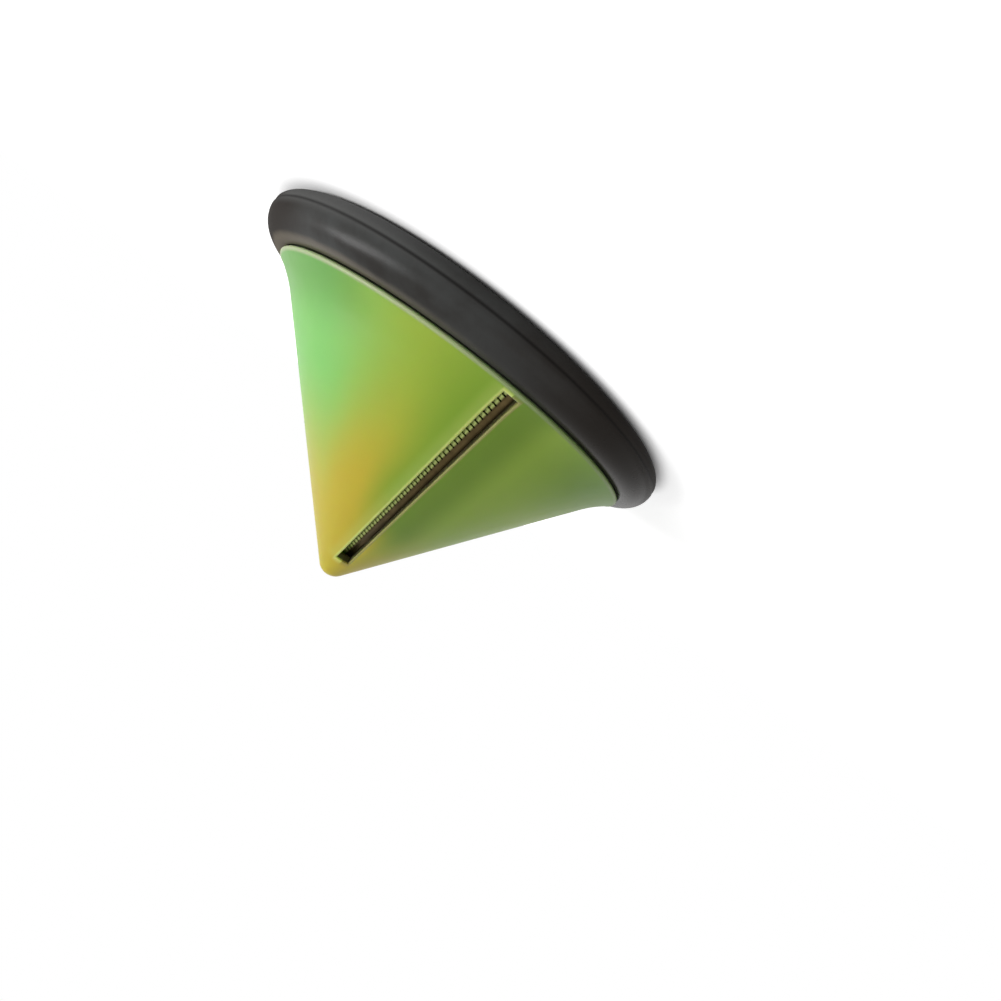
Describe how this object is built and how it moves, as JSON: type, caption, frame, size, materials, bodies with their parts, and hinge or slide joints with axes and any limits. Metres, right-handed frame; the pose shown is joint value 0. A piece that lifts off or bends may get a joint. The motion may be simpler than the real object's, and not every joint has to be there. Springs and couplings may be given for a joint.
{
  "type": "spiral fruit cutter",
  "caption": "Hand-held funnel-shaped spiral cutter: translucent slotted cone with a soft grip ring at its mouth and a serrated blade seated behind the slot.",
  "frame": {"origin": "centre of the grip ring's flat resting face, at the funnel's mouth", "axes": "+Z along the funnel's axis from the mouth to the closed nose; -Y faces the slot and the blade; +X is the side that the blade's toothed edge faces"},
  "size_m": [0.105, 0.105, 0.0628],
  "materials": {
    "funnel_plastic": "frosted translucent green moulded plastic",
    "grip_rubber": "satin black soft-touch rubber",
    "blade_steel": "brushed stainless steel with a bright ground edge",
    "rivet_steel": "plain stainless steel"
  },
  "bodies": {
    "root": {"funnel_cone": "funnel_plastic", "grip_ring": "grip_rubber", "slicing_blade": "blade_steel", "blade_rivet_nose": "rivet_steel", "blade_rivet_middle": "rivet_steel", "blade_rivet_mouth": "rivet_steel"}
  },
  "joints": []
}
